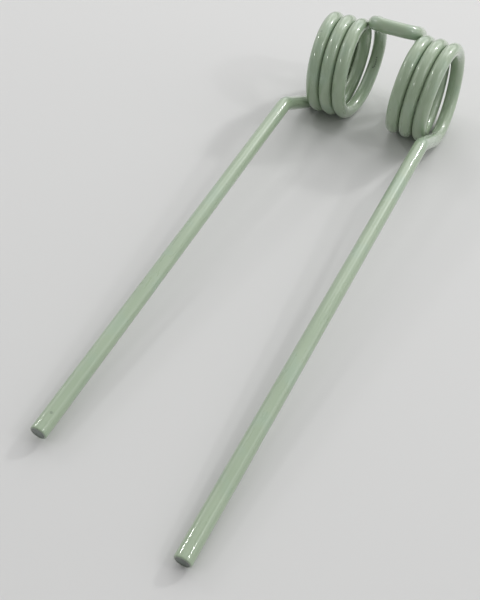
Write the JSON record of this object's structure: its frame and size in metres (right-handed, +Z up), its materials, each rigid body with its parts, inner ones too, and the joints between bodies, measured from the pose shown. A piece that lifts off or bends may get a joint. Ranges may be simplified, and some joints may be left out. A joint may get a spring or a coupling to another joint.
{
  "type": "spring tine",
  "caption": "Double-coil spring tine of round wire: close-wound coils joined by a straight bridge, with long straight legs of unequal length.",
  "frame": {"origin": "centre of the straight bridge rod between the two coils, where the tine is clamped", "axes": "+X along the coil axis towards the longer leg, -Y along the legs towards their tips, +Z up with the tine lying at rest on its coils and the longer leg's tip"},
  "size_m": [0.1126, 0.4318, 0.0781],
  "materials": {
    "painted_spring_steel": "glossy pale grey-green enamel on round spring steel wire"
  },
  "bodies": {
    "root": {"spring_tine": "painted_spring_steel"}
  },
  "joints": []
}
